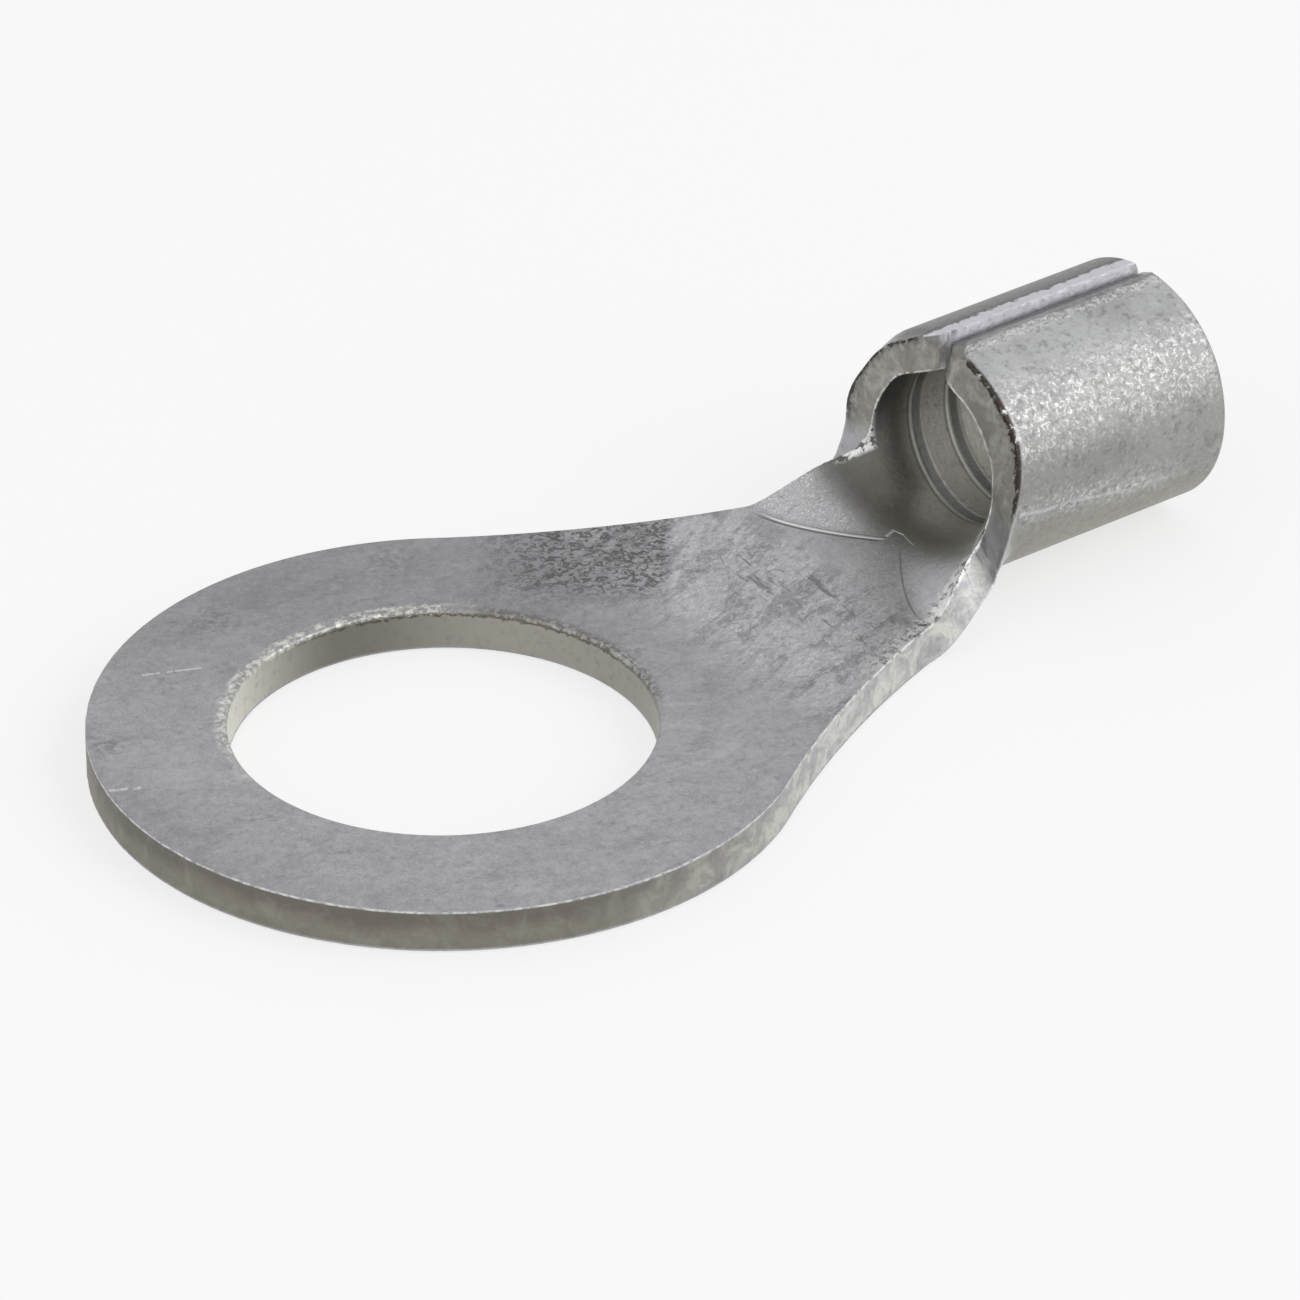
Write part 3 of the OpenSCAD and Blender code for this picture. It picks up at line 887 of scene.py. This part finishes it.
VIEW_TURN = math.radians(37.71)
VIEW_ELEVATION = math.radians(30.754)
VIEW_ROLL = math.radians(0.137)
VIEW_RANGE = 0.21
VIEW_LENS, VIEW_FRAME = 238.07, 36.0
# how far the middle of the view lies off the stud hole's centre, in hole radii
VIEW_SHIFT = (-0.9592, -0.5014)
LAMP_AIM = Vector((0.007, 0.0, 0.0))
LAMP_RANGE, LAMP_SIZE = 0.4, 0.3
# the floor lies a hair low, so that it never meets the underside
FLOOR_HALF, FLOOR_DROP = 1.5, 0.05 * MM
FLOOR_WHITE, FLOOR_SHOWN = 0.93, 0.7
# strength of the world on the part; where it is seen itself it is white
SKY_LIGHT = 0.85


def aim_camera():
    """A long lens, low over the ring, with the barrel going away to the right."""
    camera = bpy.data.cameras.new("camera")
    camera.lens = VIEW_LENS
    camera.sensor_width = VIEW_FRAME
    camera.clip_start, camera.clip_end = 0.01, 10.0
    holder = bpy.data.objects.new("camera", camera)
    bpy.context.scene.collection.objects.link(holder)
    back = Vector((0.0, -math.cos(VIEW_ELEVATION), math.sin(VIEW_ELEVATION)))
    right = Vector((1.0, 0.0, 0.0))
    up = right.cross(-back)
    rolled = right * math.cos(VIEW_ROLL) + up * math.sin(VIEW_ROLL)
    upright = up * math.cos(VIEW_ROLL) - right * math.sin(VIEW_ROLL)
    over, rise = (share * HOLE_MM * MM for share in VIEW_SHIFT)
    place = back * VIEW_RANGE - rolled * over - upright * rise
    pose = Matrix((rolled, upright, back)).transposed().to_4x4()
    pose.translation = place
    holder.matrix_world = Matrix.Rotation(-VIEW_TURN, 4, "Z") @ pose
    bpy.context.scene.camera = holder


def area_light(name, azimuth, elevation, power):
    """A square soft light aimed at the part."""
    lamp = bpy.data.lights.new(name, "AREA")
    lamp.shape = "SQUARE"
    lamp.size, lamp.energy = LAMP_SIZE, power
    holder = bpy.data.objects.new(name, lamp)
    bpy.context.scene.collection.objects.link(holder)
    a, e = math.radians(azimuth), math.radians(elevation)
    away = Vector((math.sin(a) * math.cos(e), -math.cos(a) * math.cos(e), math.sin(e)))
    holder.location = LAMP_AIM + away * LAMP_RANGE
    holder.rotation_euler = away.to_track_quat("Z", "Y").to_euler()


def seen(board):
    """1 where the eye, a reflection or a glass meets the backdrop, else 0."""
    path = board.node("ShaderNodeLightPath", {}, {})
    rays = [Sock(board, path.outputs[name])
            for name in ("Is Camera Ray", "Is Glossy Ray", "Is Transmission Ray")]
    return (rays[0] + rays[1] + rays[2]).clamped()


def white_floor(name):
    """Pale cloth that shows white."""
    material = bpy.data.materials.new(name)
    material.use_nodes = True
    b = Board(material)
    cloth = b.add("ShaderNodeBsdfDiffuse", {}, {"Color": (*[FLOOR_WHITE] * 3, 1.0)})
    white = b.add("ShaderNodeEmission", {}, {"Strength": 1.0})
    shown = b.add("ShaderNodeMixShader", {}, {0: seen(b) * FLOOR_SHOWN, 1: cloth, 2: white})
    b.node("ShaderNodeOutputMaterial", {}, {"Surface": shown})
    return material


def light_world(scene):
    """An even pale sky all round."""
    scene.world = bpy.data.worlds.new("studio")
    scene.world.use_nodes = True
    w = Board(scene.world)
    strength = seen(w) * (1.0 - SKY_LIGHT) + SKY_LIGHT
    sky = w.add("ShaderNodeBackground", {}, {"Strength": strength})
    w.node("ShaderNodeOutputWorld", {}, {"Surface": sky})


# --------------------------------------------------------------- operators


class TERMINAL_OT_form(bpy.types.Operator):
    """Form the tinned terminal from its flat blank"""

    bl_idname = "terminal.form"
    bl_label = "Form terminal"

    def execute(self, context):
        mesh = form_terminal(context.scene.terminal_sizes, "ring_terminal")
        piece = bpy.data.objects.new("ring_terminal", mesh)
        context.scene.collection.objects.link(piece)
        mesh.materials.append(tin_plate("tin_plate", context.scene.terminal_colours,
                                        Former(context.scene.terminal_sizes)))
        mesh.shade_smooth()
        mesh.set_sharp_from_angle(angle=math.radians(50.0))
        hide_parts("terminal_body")
        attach(piece, "root")
        return {"FINISHED"}


class TERMINAL_OT_stage(bpy.types.Operator):
    """Set up the floor, the soft lights and the camera"""

    bl_idname = "terminal.stage"
    bl_label = "Set the stage"

    def execute(self, context):
        bm = bmesh.new()
        bmesh.ops.create_grid(bm, x_segments=1, y_segments=1, size=FLOOR_HALF)
        mesh = bpy.data.meshes.new("floor")
        bm.to_mesh(mesh)
        bm.free()
        mesh.materials.append(white_floor("white_floor"))
        floor = bpy.data.objects.new("floor", mesh)
        floor.location.z = -FLOOR_DROP
        context.scene.collection.objects.link(floor)
        light_world(context.scene)
        area_light("key", 37.0, 36.0, 0.5)
        area_light("fill", 285.0, 25.0, 0.2)
        aim_camera()
        context.scene.view_settings.view_transform = "Standard"
        return {"FINISHED"}


class TERMINAL_PT_panel(bpy.types.Panel):
    """Lists the sizes, the colours and the making steps"""

    bl_idname = "TERMINAL_PT_panel"
    bl_label = "Ring terminal"
    bl_space_type = "VIEW_3D"
    bl_region_type = "UI"
    bl_category = "Ring Terminal"

    def draw(self, context):
        column = self.layout.column()
        for group in (context.scene.terminal_sizes, context.scene.terminal_colours):
            for name in group.__annotations__:
                column.prop(group, name)
        column.operator(TERMINAL_OT_form.bl_idname)
        column.operator(TERMINAL_OT_stage.bl_idname)


CLASSES = (BlankSizes, TinColours, TERMINAL_OT_form, TERMINAL_OT_stage, TERMINAL_PT_panel)


def register():
    for cls in CLASSES:
        bpy.utils.register_class(cls)
    bpy.types.Scene.terminal_sizes = bpy.props.PointerProperty(type=BlankSizes)
    bpy.types.Scene.terminal_colours = bpy.props.PointerProperty(type=TinColours)


def unregister():
    del bpy.types.Scene.terminal_colours
    del bpy.types.Scene.terminal_sizes
    for cls in reversed(CLASSES):
        bpy.utils.unregister_class(cls)


def main():
    register()
    bpy.ops.terminal.form()
    bpy.ops.terminal.stage()


if __name__ == "__main__":
    main()
